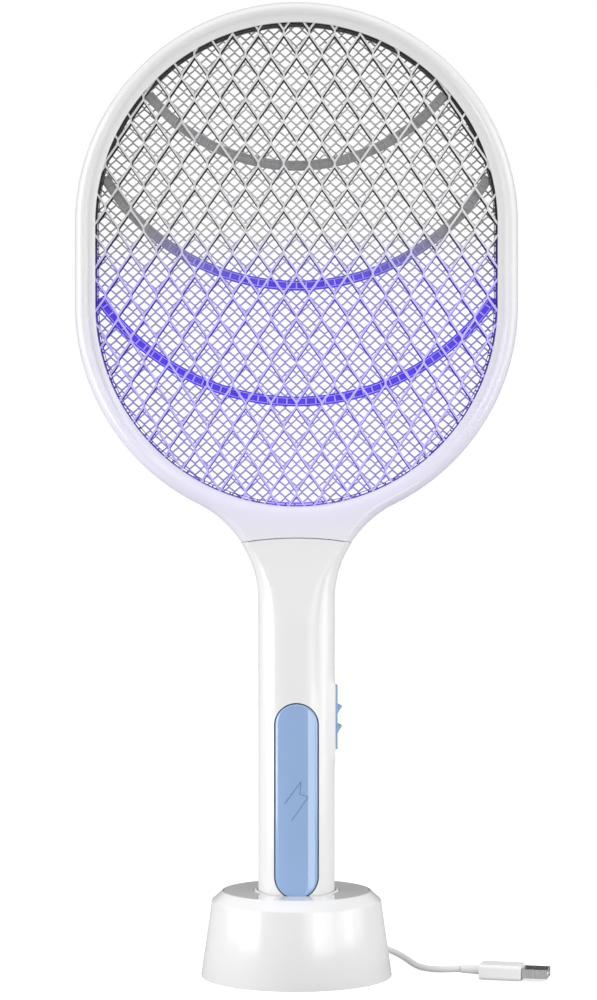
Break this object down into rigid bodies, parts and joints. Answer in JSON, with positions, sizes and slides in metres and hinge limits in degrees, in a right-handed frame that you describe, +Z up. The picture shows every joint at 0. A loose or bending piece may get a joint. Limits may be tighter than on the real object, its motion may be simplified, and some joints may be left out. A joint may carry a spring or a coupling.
{
  "type": "electric fly swatter",
  "caption": "Racket-shaped electric fly swatter with a round charging base, a press plate, a side slide switch and a USB charging cable.",
  "frame": {"origin": "on the table, under the middle of the charging base and of the handle standing in it", "axes": "+Z up along the handle and head, -Y out of the racket's front, +X to the right seen from the front, towards the side switch"},
  "size_m": [0.2364, 0.191, 0.4854],
  "materials": {
    "white_casing": "glossy white moulded plastic",
    "base_top": "satin grey moulded plastic",
    "blue_plastic": "glossy light blue moulded plastic",
    "dark_plastic": "matt dark moulded plastic",
    "light_grille": "bright expanded aluminium",
    "dark_grid": "dark plated steel",
    "fine_mesh": "fine grey aluminium mesh",
    "violet_window": "clear violet plastic",
    "steel": "bright steel",
    "brass": "gold-plated brass",
    "circuit_board": "green lacquered circuit board",
    "cell_wrap": "blue shrink wrap",
    "rubber": "matt black rubber",
    "cable_jacket": "soft white cable jacket"
  },
  "bodies": {
    "charging_base": {"base_shell": "white_casing", "base_top_plate": "base_top", "socket_cup": "white_casing", "base_bottom_cover": "white_casing", "ballast_plate": "steel", "rubber_foot_ring": "rubber", "base_screw_front": "steel", "base_screw_right": "steel", "base_screw_left": "steel", "charge_board": "circuit_board", "usb_inlet": "steel", "contact_barrel_left": "brass", "contact_barrel_right": "brass", "usb_c_plug_shell": "steel", "usb_c_overmould": "cable_jacket", "usb_c_strain_relief": "cable_jacket", "cable_base_run": "cable_jacket", "cable_coil": "cable_jacket", "cable_plug_run": "cable_jacket", "usb_a_strain_relief": "cable_jacket", "usb_a_overmould": "cable_jacket", "usb_a_shell": "steel", "usb_a_tongue": "cable_jacket"},
    "racket": {"head_front_frame": "white_casing", "head_rear_frame": "white_casing", "front_grille": "light_grille", "centre_grid": "dark_grid", "rear_grille": "fine_mesh", "grid_carrier_ring": "dark_plastic", "upper_rib": "dark_plastic", "middle_rib": "dark_plastic", "lower_rib": "dark_plastic", "lamp_window": "violet_window", "lamp_board": "circuit_board", "handle_front_shell": "white_casing", "handle_rear_shell": "white_casing", "handle_end_cap": "white_casing", "charge_contact_left": "brass", "charge_contact_right": "brass", "tact_switch": "dark_plastic", "plate_spring_upper": "steel", "plate_spring_lower": "steel", "slide_switch": "steel", "battery_cell": "cell_wrap", "battery_cradle": "dark_plastic", "main_board": "circuit_board", "step_up_transformer": "dark_plastic", "hv_capacitor": "cell_wrap", "hv_lead": "rubber", "head_screw_left": "steel", "head_screw_right": "steel", "handle_screw_left": "steel", "handle_screw_right": "steel"},
    "press_plate": {"press_plate": "blue_plastic"},
    "tact_plunger": {"tact_plunger": "rubber"},
    "switch_knob": {"switch_knob": "blue_plastic"},
    "contact_pin_left": {"contact_pin_left": "brass"},
    "contact_pin_right": {"contact_pin_right": "brass"}
  },
  "joints": [
    {"name": "racket_lift", "type": "slide", "parent": "charging_base", "child": "racket", "axis": [0, 0, 1], "range_m": [0, 0.035]},
    {"name": "plate_press", "type": "slide", "parent": "racket", "child": "press_plate", "axis": [0, 1, 0], "range_m": [0, 0.0008], "stiffness_N_per_m": 1500, "springref_m": -0.0005, "deforming": ["plate_spring_upper", "plate_spring_lower"]},
    {"name": "tact_press", "type": "slide", "parent": "racket", "child": "tact_plunger", "axis": [0, 1, 0], "range_m": [0, 0.0008]},
    {"name": "knob_slide", "type": "slide", "parent": "racket", "child": "switch_knob", "axis": [0, 0, 1], "range_m": [-0.0035, 0]},
    {"name": "contact_left_press", "type": "slide", "parent": "charging_base", "child": "contact_pin_left", "axis": [0, 0, 1], "range_m": [-0.001, 0], "stiffness_N_per_m": 200, "springref_m": 0.0005},
    {"name": "contact_right_press", "type": "slide", "parent": "charging_base", "child": "contact_pin_right", "axis": [0, 0, 1], "range_m": [-0.001, 0], "stiffness_N_per_m": 200, "springref_m": 0.0005}
  ],
  "couplings": [
    {"joint": "tact_press", "follows": "plate_press", "ratio": 1}
  ]
}
